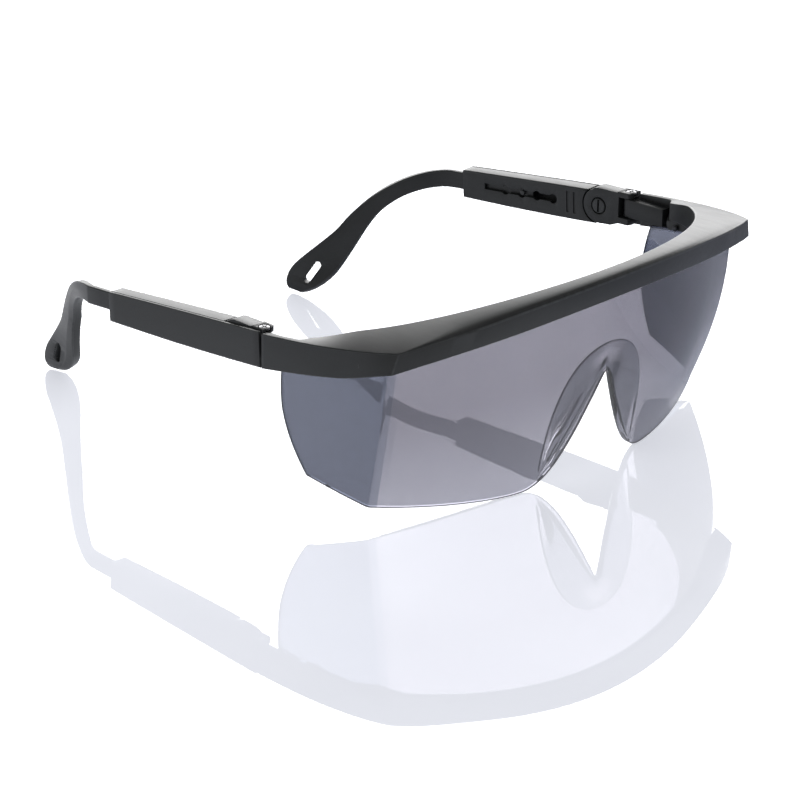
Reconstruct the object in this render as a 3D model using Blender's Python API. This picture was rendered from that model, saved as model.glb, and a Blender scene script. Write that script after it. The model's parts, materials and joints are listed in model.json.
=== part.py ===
"""Safety glasses with a wrap-round lens and temples that fold, tilt and slide.

Frame of the part: +Z up, the front faces -Y, the temples run towards +Y, and the
part is symmetric about X = 0.  It stands on the lower edge of the lens and on the
two ear pieces.  Design dimensions are in millimetres and degrees; the objects are
made in metres.  "Right" is the +X side; the left pieces are its mirror images.
"""
import math

import bmesh
import bpy
from mathutils import Matrix, Vector

MM = 0.001
ORIGIN_Y = 64.8            # design y that lies over the part's own origin
CLEAR = 0.4                # running gap between neighbouring pieces

# Brow frame
CORNER_X = 69.4            # half width at the front corners
BROW_TOP = (0.4, 16.7, 1.0, 49.3, 8.4)      # y at corner, bow, extra bow, z at corner, arch
BROW_BOTTOM = (2.9, 16.4, 2.0, 42.0, 8.9)   # the same for the lower edge of the brow wall
SEAM_X = 75.9              # outer face of the arm where the temple begins
SEAM_Y = 38.8
SEAM_TOP_Z = 46.0
SEAM_BOTTOM_Z = 36.8
ARM_FLARE = 3.4            # how quickly the arm turns to run straight back
CORNER_HIGH = Vector((0.3, -0.9, 0.2))      # how far the wall's face runs on at the corner,
CORNER_LOW = Vector((2.0, -2.7, 2.1))       # above and below
CORNER_REACH = (0.5, 0.35)                  # over what share of the front and of the arm
LIP = 1.2                  # thickness of the brow wall in front of the lens
CHANNEL = 3.9              # wall outer face to the rail behind the lens
RAIL = 5.0                 # wall outer face to the back of that rail
ARM_WALL = 2.0             # thickness of the arm beside the hinge
LEDGE_START = (0.0, -11.8)                  # rear edge of the brow ledge, a Bezier in plan
LEDGE_PULL_1 = (34.0, -11.8)
LEDGE_PULL_2 = (66.0, 8.0)
LEDGE_END = (71.2, 27.0)
LEDGE_CORNER = 0.7         # curve parameter of the ledge that faces the corner
LEDGE_T = (2.0, 4.9)       # its thickness in front and at the corners
LEDGE_STOP = (26.0, 2.6)   # y where it gives way to the plain arm, and over what length
LEDGE_SETTLE = (8.0, 20.0)                  # the same for coming down to the arm's top
RAIL_STOP = (25.0, 2.0)    # the same for the rail
BROW_BEVEL = 0.35
TONGUE_ROOT_Y = 28.6       # hinge tongue: from here, past the arm's wall, to the screw
TONGUE_SIDE_Y = (36.5, 37.6)
TONGUE_SIDES = (1.9, 1.6)  # inboard and outboard of the screw
TONGUE_Z = (39.7, 44.7)
TONGUE_R = 1.75

# Lens
LENS_T = 1.8
LENS_DEPTH = 1.6           # wall outer face to the lens outer face
LENS_TUCK = 3.2            # how far the lens reaches up into the channel
LENS_REAR_TUCK = 0.9       # the same under the hinge tongue
ROOF_CLEAR = 1.1           # room above the lens's leaning top edge
FOLD_TOP_X = 68.4
FOLD_LOW = (65.4, 12.3, 4.2)
FOLD_SWELL = (1.5, 1.35)   # how far the fold swells outwards and forwards half way down
LENS_BOW = (4.1, 15.9, 2.1)
RAKE = (0.178, 0.039)      # rearward slope of the lens, at the middle and its gain outboard
WALL_RAKE = (0.265, 0.075)
SHIELD_LOW = (69.9, 9.5)   # x and z of the lower rear corner of a side shield
SHIELD_LEAN = 0.15
SHIELD_BACK = (35.2, 0.0166, 29.0)
SHIELD_TOP_Z = 37.6
GAP = ((1.0, 28.3), (7.5, 15.5), (14.0, 0.2), (24.0, 0.05))   # edge of the nose opening
REST_X = 27.0              # where the lower edge of the lens touches down
REST_RISE = 4.2
EDGE_STATIONS = (27, 31, 35.5, 40, 45, 50, 55, 60, 63.5)    # x of the columns outboard of it
SHIELD_STATIONS = (1.06, 1.14, 1.24, 1.36, 1.48, 1.56, 1.61, 1.66, 1.71, 1.78, 1.85)
NOSE_ARCH = ((0.0, 36.6), (14.0, 36.4), (18.6, 24.0), (18.2, 5.0))
NOSE_RIDGE = (2.6, 3.3, 1.9)                # depth at the bridge, at the pads, at the foot

# Temple
CONVERGE = 4.25            # the temples close towards each other by this angle
SLOPE = -3.75              # and fall towards the rear by this one
PIVOT = (72.3, 49.6, 41.2)
SCREW_LOCAL = (-0.3, -8.8)
BLOCK_IN, BLOCK_OUT = -2.9, 1.5             # inner and outer face of the hinge block
EAR_TOP = (3.85, 5.4)
EAR_LOW = (-3.6, -1.85)
EAR_FRONT = -10.2
WEB_Y = -6.5
KNUCKLE_R = 4.9
CASING_OUT = 2.8
CASING_IN_END = -2.2       # inner face at the rear end
CASING_TOP = (4.4, 3.1)    # upper and lower face, at the front and the rear end
CASING_LOW = (-5.0, -4.8)
CASING_SWELL = 0.35        # how much deeper the casing is half way along
PLATE_IN = 1.8
CASING_END = 46.0
EDGE_BEVEL = 0.45          # along the casing and the ear piece
GROOVES = (7.6, 9.9)       # two upright grooves behind the knuckle
GROOVE_SIZE = (0.8, 0.35, -3.4, 2.6)        # width, depth, lowest and highest z
BAR_X = (-1.3, 0.5)
BAR_Z = (-2.9, 1.9)
BAR_CLEAR = 0.3
DETENTS = (15.2, 20.7, 25.8, 31.4)
DETENT_Z = -0.4
DETENT_R = 1.35
SLOT_HALF = 0.85           # half width of the slot that joins the detents
SLOT_END = 38.5
PEG_Y = DETENTS[2]
PEG_R = 0.75
LEFT_CLICK = DETENTS[3] - DETENTS[2]        # the left ear piece is pulled out one hole further

# Screws and pins
SCREW_R, SCREW_HEAD_R, SCREW_BORE_R, SCREW_SEAT_R = 0.75, 1.45, 1.1, 1.75
PIN_R, PIN_HEAD_R, PIN_BORE_R, PIN_SEAT_R = 0.72, 2.05, 1.05, 2.4
BOSS_R, BOSS_BORE_R = 1.6, 2.0
STUD_Y, STUD_Z = 23.5, 40.9
STUD_R, STUD_HEAD_R, STUD_BORE_R = 0.55, 1.1, 0.9

TIP_STRAIGHT = 51.2        # the bar is straight up to here
# Ear piece: its rear and front edges, from the bar down to the foot, about the pivot
TIP_REAR_BEND = ((-2.6, 58.5, 2.1), (-10.5, 69.9, -1.4), (-15.4, 79.7, -15.1))
TIP_REAR_DROP = ((-18.2, 84.0, -19.8), (-20.2, 90.5, -24.0), (-20.6, 98.9, -33.6))
TIP_FRONT_BEND = ((-2.2, 56.4, -2.7), (-7.5, 66.1, -4.2), (-12.2, 71.7, -14.1))
TIP_FRONT_DROP = ((-13.6, 75.0, -19.2), (-16.2, 78.0, -26.5), (-22.0, 84.3, -35.0))
TIP_ROUNDING = 4           # sections over which the foot is rounded off
TIP_HALF_T = 1.5           # half thickness of the ear piece
SLOT_TOP = (-18.2, 84.8, -25.4)
SLOT_FOOT = (-20.0, 88.8, -31.4)
SLOT_R = 0.95


def lerp(a, b, t):
    return a + (b - a) * t


def bezier(points, t):
    """Point of a cubic Bezier curve given by four tuples of any size."""
    k = ((1 - t) ** 3, 3 * t * (1 - t) ** 2, 3 * t * t * (1 - t), t ** 3)
    return tuple(sum(w * p[i] for w, p in zip(k, points)) for i in range(len(points[0])))


def smooth(t):
    t = min(1.0, max(0.0, t))
    return t * t * (3 - 2 * t)


# ---------------------------------------------------------------- mesh helpers

def material(name, colour, roughness, metallic=0.0, alpha=1.0):
    made = bpy.data.materials.new(name)
    made.use_nodes = True
    shader = made.node_tree.nodes["Principled BSDF"]
    shader.inputs["Base Color"].default_value = (*colour, 1.0)
    shader.inputs["Roughness"].default_value = roughness
    shader.inputs["Metallic"].default_value = metallic
    shader.inputs["Alpha"].default_value = alpha
    return made


def mesh_object(name, verts, faces):
    """Object from millimetre vertices, with its faces turned outwards."""
    mesh = bpy.data.meshes.new(name)
    mesh.from_pydata([Vector(v) * MM for v in verts], [], faces)
    bm = bmesh.new()
    bm.from_mesh(mesh)
    bmesh.ops.recalc_face_normals(bm, faces=bm.faces)
    bm.to_mesh(mesh)
    bm.free()
    made = bpy.data.objects.new(name, mesh)
    bpy.context.collection.objects.link(made)
    return made


def loft(name, sections):
    """Closed body through equal-sized closed sections, with flat ends."""
    n = len(sections[0])
    verts = [p for section in sections for p in section]
    faces = []
    for row in range(len(sections) - 1):
        a, b = row * n, (row + 1) * n
        for i in range(n):
            j = (i + 1) % n
            faces.append((a + i, a + j, b + j, b + i))
    faces.append(tuple(range(n)))
    faces.append(tuple(range(len(verts) - n, len(verts))))
    return mesh_object(name, verts, faces)


def prism(name, outline, axis, low, high):
    """Flat outline pushed along an axis; the outline lists the other two coordinates."""
    def place(p, h):
        return {"x": (h, p[0], p[1]), "y": (p[0], h, p[1]), "z": (p[0], p[1], h)}[axis]
    return loft(name, [[place(p, low) for p in outline], [place(p, high) for p in outline]])


def box(name, x, y, z):
    return prism(name, [(x[0], y[0]), (x[1], y[0]), (x[1], y[1]), (x[0], y[1])], "z", *z)


def arc(cx, cy, r, start, end, count):
    angles = [math.radians(lerp(start, end, i / count)) for i in range(count + 1)]
    return [(cx + r * math.cos(a), cy + r * math.sin(a)) for a in angles]


def cylinder(name, axis, centre, r, low, high, count=24):
    return prism(name, arc(*centre, r, 0, 360, count)[:-1], axis, low, high)


def combine(target, tool, operation):
    """Boolean of two objects, applied; the tool is used up."""
    modifier = target.modifiers.new(operation, "BOOLEAN")
    modifier.operation = operation
    modifier.solver = "EXACT"
    modifier.object = tool
    bpy.context.view_layer.update()
    depsgraph = bpy.context.evaluated_depsgraph_get()
    mesh = bpy.data.meshes.new_from_object(target.evaluated_get(depsgraph))
    target.modifiers.clear()
    target.data = mesh
    bpy.data.objects.remove(tool)
    return target


def cut(target, tool):
    return combine(target, tool, "DIFFERENCE")


def join(target, tool):
    return combine(target, tool, "UNION")


def finish(made, name, mat):
    made.name = name
    made.data.name = name
    made.data.materials.clear()
    made.data.materials.append(mat)
    made.data.shade_smooth()
    made.data.set_sharp_from_angle(angle=math.radians(30))


def place(made, origin, turn=0.0, slope=0.0):
    """Put an object modelled about its own origin where it belongs."""
    made.location = Vector((origin[0], origin[1] - ORIGIN_Y, origin[2])) * MM
    made.rotation_euler = (math.radians(slope), 0.0, math.radians(turn))


def recentre(made, origin):
    """Move the origin of an object modelled in design coordinates."""
    made.data.transform(Matrix.Translation(-Vector(origin) * MM))
    place(made, origin)


def add_left(right, name):
    """Mirror image of a right-hand piece, as its own object."""
    mesh = right.data.copy()
    mesh.transform(Matrix.Scale(-1, 4, (1, 0, 0)))
    mesh.flip_normals()
    made = bpy.data.objects.new(name, mesh)
    bpy.context.collection.objects.link(made)
    made.location = (-right.location.x, right.location.y, right.location.z)
    made.rotation_euler = (right.rotation_euler.x, 0.0, -right.rotation_euler.z)
    mesh.name = name
    return made


# ---------------------------------------------------------------- brow frame

def brow_edge(edge, u):
    y0, bow, extra, z0, arch = edge
    x = CORNER_X * u
    y = y0 - bow * (1 - u * u) - extra * (1 - u ** 4)
    return Vector((x, y, z0 + arch * (1 - u * u)))


def arm_edge(start, end_x, end_z, v):
    x0, y0, z0 = start
    x = end_x - (end_x - x0) * (1 - v) ** ARM_FLARE
    return Vector((x, lerp(y0, SEAM_Y, v), lerp(z0, end_z, v)))


def outer_edges(s):
    """Top and bottom outer points: s 0 to 1 is the front, 1 to 2 the arm."""
    if s <= 1:
        return brow_edge(BROW_TOP, s), brow_edge(BROW_BOTTOM, s)
    top0, low0 = outer_edges(1)
    v = s - 1
    return arm_edge(top0, SEAM_X, SEAM_TOP_Z, v), arm_edge(low0, SEAM_X - 0.2, SEAM_BOTTOM_Z, v)


def inward(s):
    """Horizontal normal of the lower edge, mitred at the corner."""
    def side(a, b):
        run = outer_edges(b)[1] - outer_edges(a)[1]
        return Vector((-run.y, run.x, 0)).normalized()
    step = 0.004
    if abs(s - 1) > step:
        return side(s - step, s + step) if s < 2 - step else side(s - 2 * step, s)
    a, b = side(1 - 2 * step, 1), side(1, 1 + 2 * step)
    mid = (a + b).normalized()
    return mid / mid.dot(a)


def wall_point(s, z, depth):
    """Point at a height of the brow wall, a given depth behind its outer face."""
    top, low = outer_edges(s)
    return low.lerp(top, (z - low.z) / (top.z - low.z)) + inward(s) * depth


def roof_height(x):
    """Height of the ledge, which keeps the front's arch all the way back."""
    return BROW_TOP[3] + BROW_TOP[4] * (1 - (x / CORNER_X) ** 2)


def tuck(y):
    """How far the lens reaches above the wall's lower edge at a place along the arm."""
    return lerp(LENS_TUCK, LENS_REAR_TUCK, smooth((y - 25.2) / 2.6))


def brow_section(s):
    top, low = outer_edges(s)
    normal = inward(s)
    ledge = (LEDGE_START, LEDGE_PULL_1, LEDGE_PULL_2, LEDGE_END)
    if s <= 1:
        t = LEDGE_CORNER * s
    else:
        t = lerp(LEDGE_CORNER, 1.0, min(1.0, (top.y - BROW_TOP[0]) / (LEDGE_END[1] - BROW_TOP[0])))
    settle = smooth((top.y - LEDGE_SETTLE[0]) / LEDGE_SETTLE[1]) if s > 1 else 0.0
    x, y = bezier(ledge, t)
    rear = Vector((x, y, lerp(roof_height(x), top.z, settle)))
    hinge = smooth((top.y - LEDGE_STOP[0]) / LEDGE_STOP[1]) if s > 1 else 0.0
    lift = smooth((top.y - RAIL_STOP[0]) / RAIL_STOP[1]) if s > 1 else 0.0
    rear = rear.lerp(top + normal * ARM_WALL, hinge)
    drop = lerp(*LEDGE_T, smooth((s - 0.7) / 0.4))
    roof = low.z + (tuck(low.y) if s > 1 else LENS_TUCK) + ROOF_CLEAR
    shelf_z = lerp(top.z - drop, top.z - 2.0, hinge)
    rail_back = lerp(RAIL, ARM_WALL, hinge)
    rail_front = lerp(CHANNEL, ARM_WALL - 0.05, hinge)
    rail_low = lerp(low.z + 1.0, roof + 0.6, lift)
    roof_back = lerp(roof, roof + 0.05, hinge)

    spread = smooth(1 - abs(s - 1) / CORNER_REACH[s > 1])
    high_out, low_out = CORNER_HIGH * spread, CORNER_LOW * spread

    def at(z, depth):
        return wall_point(s, z, depth)

    return [
        at(top.z - BROW_BEVEL, 0) + high_out, at(top.z, BROW_BEVEL) + high_out,
        rear, Vector((rear.x, rear.y, shelf_z)),
        at(lerp(shelf_z, shelf_z - 1.5, hinge), rail_back), at(rail_low, rail_back),
        at(lerp(rail_low, rail_low - 0.2, hinge), rail_front), at(roof_back, rail_front - 0.02),
        at(roof, LIP), at(low.z, LIP) + low_out, at(low.z, 0.25) + low_out, at(low.z + 0.25, 0) + low_out,
    ]


def build_brow():
    front = [i / 16 for i in range(16)]
    arm = [1.0, 1.05, 1.1, 1.16, 1.22, 1.3, 1.38, 1.46, 1.54, 1.62, 1.66, 1.70, 1.74, 1.82, 1.9, 2.0]
    half = [brow_section(s) for s in front + arm]
    mirrored = [[Vector((-p.x, p.y, p.z)) for p in section] for section in half[:0:-1]]
    brow = loft("brow", mirrored + half)
    screw = screw_centre()
    for side in (-1, 1):
        x_in, x_out = screw[0] - TONGUE_SIDES[0], screw[0] + TONGUE_SIDES[1]
        outline = [(x_out + 1.0, TONGUE_ROOT_Y), (x_out + 1.0, TONGUE_SIDE_Y[0]), (x_out, TONGUE_SIDE_Y[1])]
        outline += arc((x_in + x_out) / 2, screw[1], TONGUE_R, 0, 180, 10)
        outline += [(x_in, TONGUE_ROOT_Y)]
        outline = [(side * x, y) for x, y in outline]
        join(brow, prism("tongue", outline, "z", *TONGUE_Z))
        hole = (side * screw[0], screw[1])
        cut(brow, cylinder("bore", "z", hole, SCREW_BORE_R, 35, 50))
        stud = wall_point(stud_station(), STUD_Z, 0)
        low, high = sorted((side * (stud.x - 7.5), side * (stud.x - 0.7)))
        cut(brow, cylinder("stud_bore", "x", (STUD_Y, STUD_Z), STUD_BORE_R, low, high, 16))
    return brow


def stud_station():
    """Arm parameter at which the wall stands beside the stud."""
    s = 1.0
    while wall_point(s, STUD_Z, 0).y < STUD_Y:
        s += 0.005
    return s


# ---------------------------------------------------------------- lens

def lens_front(s, z):
    """Outer face of the lens in front: s 0 is the middle and 1 the fold."""
    base_z = BROW_BOTTOM[3] + BROW_BOTTOM[4] * (1 - s * s)
    fold_x = lerp(FOLD_LOW[0], FOLD_TOP_X, (z - FOLD_LOW[2]) / (BROW_BOTTOM[3] - FOLD_LOW[2]))
    y0, bow, extra = LENS_BOW
    r = min(1.0, max(0.0, (z - FOLD_LOW[2]) / (base_z - FOLD_LOW[2])))
    swell = 4 * r * (1 - r) * s * s
    y = y0 - bow * (1 - s * s) - extra * (1 - s ** 4) - FOLD_SWELL[1] * swell
    slope = RAKE if z < base_z else WALL_RAKE
    x = s * fold_x + FOLD_SWELL[0] * swell
    return Vector((x, y + (slope[0] + slope[1] * s * s) * (base_z - z), z))


def lower_edge(x):
    """Height of the lens's lower edge outboard of the nose opening."""
    return REST_RISE * (max(0.0, x - REST_X) / (FOLD_LOW[0] - REST_X)) ** 1.5


def front_station(x, z):
    fold_x = lerp(FOLD_LOW[0], FOLD_TOP_X, (z - FOLD_LOW[2]) / (BROW_BOTTOM[3] - FOLD_LOW[2]))
    return x / fold_x


def column(low_z, high_z, tuck_height, point, rows):
    """Lens points from its lower edge, through the wall's lower edge, to its top edge."""
    heights = [lerp(low_z, high_z, i / rows) for i in range(rows + 1)]
    heights += [high_z + tuck_height * 0.5, high_z + tuck_height]
    return [point(z) for z in heights]


def build_lens(rows=8):
    lows = [(0.0, 28.6)] + [bezier(GAP, i / 14) for i in range(15)]
    lows += [(x, lower_edge(x)) for x in EDGE_STATIONS]
    lows += [(FOLD_LOW[0], FOLD_LOW[2])]
    columns = []
    for x, z in lows:
        s = front_station(x, z)
        base = BROW_BOTTOM[3] + BROW_BOTTOM[4] * (1 - s * s)
        columns.append(column(z, base, LENS_TUCK, lambda h, s=s: lens_front(s, h), rows))
    columns += shield_columns(rows)
    columns = [[Vector((-p.x, p.y, p.z)) for p in c] for c in columns[:0:-1]] + columns
    lens = sheet("lens", columns, LENS_T)
    join(lens, build_nose_rest())
    stud = wall_point(stud_station(), STUD_Z, 0)
    for side in (-1, 1):
        low, high = sorted((side * (stud.x - 7), side * (stud.x + 2)))
        cut(lens, cylinder("stud_hole", "x", (STUD_Y, STUD_Z), STUD_BORE_R, low, high, 16))
    return lens


def shield_columns(rows):
    """Side shield, ruled from the fold back to its rounded rear edge."""
    rear_y, sag, mid_z = SHIELD_BACK
    end = SHIELD_BACK[0] - sag * (SHIELD_TOP_Z - mid_z) ** 2
    start = lens_front(1, BROW_BOTTOM[3])
    last = (end - BROW_BOTTOM[0]) / (SEAM_Y - BROW_BOTTOM[0]) + 1
    top = [wall_point(min(s, last), outer_edges(min(s, last))[1].z, LENS_DEPTH)
           for s in SHIELD_STATIONS]
    run = top[-1] - start
    columns = []
    for s, head in zip(SHIELD_STATIONS, top):
        k = (head.y - start.y) / (top[-1].y - start.y)
        bulge = head - start - run * k
        points = []
        for i in range(rows + 1):
            r = i / rows
            fold = lens_front(1, lerp(FOLD_LOW[2], BROW_BOTTOM[3], r))
            z = lerp(SHIELD_LOW[1], SHIELD_TOP_Z, r)
            back = Vector((SHIELD_LOW[0] + SHIELD_LEAN * (z - SHIELD_LOW[1]),
                           rear_y - sag * (z - mid_z) ** 2, z))
            back = back.lerp(top[-1], smooth((r - 0.6) / 0.4))
            points.append(fold.lerp(back, k) + bulge * lerp(0.15, 1.0, r * r))
        s = min(s, last)
        low_z = outer_edges(s)[1].z
        height = tuck(head.y)
        points += [wall_point(s, low_z + height * f, LENS_DEPTH) for f in (0.5, 1.0)]
        columns.append(points)
    return columns


def sheet(name, columns, thickness):
    """Closed sheet from a grid of outer points, thickened towards +Y and the middle."""
    count, rows = len(columns), len(columns[0])

    def normal(c, r):
        along = columns[min(c + 1, count - 1)][r] - columns[max(c - 1, 0)][r]
        up = columns[c][min(r + 1, rows - 1)] - columns[c][max(r - 1, 0)]
        return up.cross(along).normalized()
    outer = [p for c in columns for p in c]
    inner = [columns[c][r] - normal(c, r) * -thickness for c in range(count) for r in range(rows)]
    total = len(outer)
    faces = []
    for c in range(count - 1):
        for r in range(rows - 1):
            a = c * rows + r
            quad = (a, a + rows, a + rows + 1, a + 1)
            faces.append(quad)
            faces.append(tuple(total + i for i in reversed(quad)))
    rim = [c * rows for c in range(count)] + [(count - 1) * rows + r for r in range(1, rows)]
    rim += [c * rows + rows - 1 for c in range(count - 2, -1, -1)] + list(range(rows - 2, 0, -1))
    for a, b in zip(rim, rim[1:] + rim[:1]):
        faces.append((a, b, b + total, a + total))
    return mesh_object(name, outer + inner, faces)


def build_nose_rest():
    """Moulded rim behind the lens, from the nose opening out to its arch."""
    rear = Vector((0, 0.98, 0.19))

    def section(v):
        gx, gz = bezier(GAP, 0.02 + 0.78 * v) if v > 0 else (0.0, 28.5)
        ax, az = bezier(NOSE_ARCH, v)
        bridge, pad, foot = NOSE_RIDGE
        depth = lerp(bridge, pad, smooth(v / 0.35)) if v < 0.6 else lerp(pad, foot, smooth((v - 0.6) / 0.4))

        def at(k, d):
            x, z = lerp(gx, ax, k), lerp(gz, az, k)
            return lens_front(front_station(x, z), z) + rear * d
        return [at(0.02, 0.5), at(0.1, depth), at(0.3, depth), at(0.97, 1.4), at(0.97, 0.7)]
    half = [section(i / 16) for i in range(17)]
    mirrored = [[Vector((-p.x, p.y, p.z)) for p in s] for s in half[:0:-1]]
    return loft("nose_rest", mirrored + half)


# ---------------------------------------------------------------- temple

def turned(x, y):
    a = math.radians(CONVERGE)
    return (x * math.cos(a) - y * math.sin(a), x * math.sin(a) + y * math.cos(a))


def screw_centre():
    dx, dy = turned(*SCREW_LOCAL)
    return (PIVOT[0] + dx, PIVOT[1] + dy)


def build_hinge_block():
    """Fork and tilt knuckle, modelled about the tilt pivot."""
    profile = [(WEB_Y, EAR_LOW[0]), (-4.0, -4.6)] + arc(0, 0, KNUCKLE_R, -90, 90, 20)
    profile += [(WEB_Y, EAR_TOP[1])]
    block = prism("block", profile, "x", BLOCK_IN, BLOCK_OUT)
    sx, sy = SCREW_LOCAL
    outline = [(BLOCK_OUT, WEB_Y + 0.6), (BLOCK_IN, WEB_Y + 0.6), (BLOCK_IN, sy),
               (BLOCK_IN + 1.2, EAR_FRONT), (BLOCK_OUT - 0.3, EAR_FRONT), (BLOCK_OUT, EAR_FRONT + 0.3)]
    for low, high in (EAR_TOP, EAR_LOW):
        join(block, prism("ear", outline, "z", low, high))
    cut(block, cylinder("bore", "z", (sx, sy), SCREW_BORE_R, -8, 8))
    cut(block, cylinder("head_seat", "z", (sx, sy), SCREW_SEAT_R, EAR_TOP[1] - 1.05, 8))
    cut(block, cylinder("boss_bore", "x", (0, 0), BOSS_BORE_R, -8, 8))
    cut(block, cylinder("pin_seat", "x", (0, 0), PIN_SEAT_R, -8, BLOCK_IN + 1.1))
    return block


def build_hinge_screw():
    """Cross-head screw, modelled about its own axis at the height of the tilt pivot."""
    screw = cylinder("screw", "z", (0, 0), SCREW_R, EAR_LOW[0] + 0.2, 5.0, 20)
    join(screw, cylinder("head", "z", (0, 0), SCREW_HEAD_R, EAR_TOP[1] - 0.75, EAR_TOP[1] + 0.15, 28))
    for long, wide in ((1.0, 0.22), (0.22, 1.0)):
        cut(screw, box("drive", (-long, long), (-wide, wide), (EAR_TOP[1] - 0.3, 8)))
    return screw


def build_tilt_pin():
    pin = cylinder("pin", "x", (0, 0), PIN_R, BLOCK_IN + 0.4, 0.9, 20)
    join(pin, cylinder("head", "x", (0, 0), PIN_HEAD_R, BLOCK_IN - 0.15, BLOCK_IN + 0.8, 32))
    cut(pin, box("slot", (-8, BLOCK_IN + 0.4), (-0.3, 0.3), (-1.75, 1.75)))
    return pin


def casing_inner(y):
    return lerp(BLOCK_IN, CASING_IN_END, max(0.0, (y - 6) / (CASING_END - 6)))


def build_casing():
    """Temple box, open at the rear, with a thin wall that covers the hinge block."""
    sections = []
    for i in range(9):
        y = lerp(EAR_FRONT, CASING_END, i / 8)
        k = (y - EAR_FRONT) / (CASING_END - EAR_FRONT)
        swell = CASING_SWELL * math.sin(math.pi * k)
        top, low = lerp(*CASING_TOP, k) + 0.3 * swell, lerp(*CASING_LOW, k) - swell
        inner, c = casing_inner(y), EDGE_BEVEL
        sections.append([(CASING_OUT - c, y, low), (CASING_OUT, y, low + c), (CASING_OUT, y, top - c),
                         (CASING_OUT - c, y, top), (inner + c, y, top), (inner, y, top - c),
                         (inner, y, low + c), (inner + c, y, low)])
    casing = loft("casing", sections)
    room = [(0, 9), (-14, 9), (-14, -9), (0, -9)] + arc(0, 0, KNUCKLE_R + CLEAR, -90, 90, 24)
    cut(casing, prism("block_room", room, "x", -9, PLATE_IN))
    gap = BAR_CLEAR
    room = (BAR_X[0] - gap, BAR_X[1] + gap), (9.0, 60), (BAR_Z[0] - CLEAR, BAR_Z[1] + CLEAR)
    cut(casing, box("bar_room", *room))
    slot_z = (DETENT_Z - SLOT_HALF, DETENT_Z + SLOT_HALF)
    cut(casing, box("slot", (-9, -1.0), (DETENTS[0], SLOT_END), slot_z))
    for y in DETENTS:
        cut(casing, cylinder("detent", "x", (y, DETENT_Z), DETENT_R, -9, -1.0, 20))
    wide, deep, *groove_z = GROOVE_SIZE
    for y in GROOVES:
        cut(casing, box("groove", (-9, casing_inner(y) + deep), (y, y + wide), groove_z))
    join(casing, cylinder("boss", "x", (0, 0), BOSS_R, -1.45, PLATE_IN + 0.2))
    cut(casing, cylinder("pin_bore", "x", (0, 0), PIN_BORE_R, -3, 1.25, 20))
    return casing


def build_tip():
    """Sliding bar that becomes the ear piece, modelled about the tilt pivot."""
    x_mid = (BAR_X[0] + BAR_X[1]) / 2
    rails = []
    for z, bend, drop in ((BAR_Z[1], TIP_REAR_BEND, TIP_REAR_DROP),
                          (BAR_Z[0], TIP_FRONT_BEND, TIP_FRONT_DROP)):
        bend = ((x_mid, TIP_STRAIGHT, z),) + bend
        drop = bend[-1:] + drop
        rail = [(x_mid, y, z) for y in (PEG_Y - 3.0, 36.0, 46.5)]
        rail += [bezier(bend, i / 14) for i in range(15)] + [bezier(drop, i / 14) for i in range(1, 15)]
        rails.append([Vector(p) for p in rail])
    rails = list(zip(*rails))
    last = len(rails) - 1
    sections = []
    for i, (rear, front) in enumerate(rails):
        before, after = rails[max(i - 1, 0)], rails[min(i + 1, last)]
        wide = (rear - front).normalized()
        out = (after[0] + after[1] - before[0] - before[1]).cross(wide).normalized()
        half = (rear - front).length / 2
        from_end = (last - i) / TIP_ROUNDING
        if from_end < 1:
            half *= math.sqrt(1 - 0.7 * (1 - from_end) ** 2)
        thick = lerp((BAR_X[1] - BAR_X[0]) / 2, TIP_HALF_T, smooth((i - 4) / 8))
        middle, c = (rear + front) / 2, EDGE_BEVEL
        corners = [(thick, half - c), (thick - c, half), (c - thick, half), (-thick, half - c),
                   (-thick, c - half), (c - thick, -half), (thick - c, -half), (thick, c - half)]
        sections.append([middle + out * a + wide * b for a, b in corners])
    tip = loft("tip", sections)
    cut(tip, slot_cutter(Vector(SLOT_TOP), Vector(SLOT_FOOT), SLOT_R))
    join(tip, cylinder("peg", "x", (PEG_Y, DETENT_Z), PEG_R, -2.4, x_mid, 20))
    return tip


def slot_cutter(start, end, radius):
    """Round-ended slot tool between two points, pushed square through the paddle."""
    along = (end - start).normalized()
    out = Vector((along.y, -along.x, 0)).normalized()
    wide = along.cross(out)
    outline = [(math.cos(a) * radius, math.sin(a) * radius) for a in
               [math.radians(lerp(-90, 90, i / 8)) for i in range(9)]]
    length = (end - start).length
    ring = [(length - 2 * radius + x, y) for x, y in outline] + [(-x, -y) for x, y in outline]
    first = start + along * radius
    return loft("cord_slot", [[first + along * x + wide * y + out * h for x, y in ring]
                              for h in (-6.0, 6.0)])


def build_stud():
    """Peg with a domed head that pins the side shield in the arm."""
    face = wall_point(stud_station(), STUD_Z, 0).x
    stud = cylinder("stud", "x", (STUD_Y, STUD_Z), STUD_R, face - 5.8, face - 1.1, 16)
    join(stud, cylinder("stud_head", "x", (STUD_Y, STUD_Z), STUD_HEAD_R, face - 6.2, face - 5.4, 20))
    return stud


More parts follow.
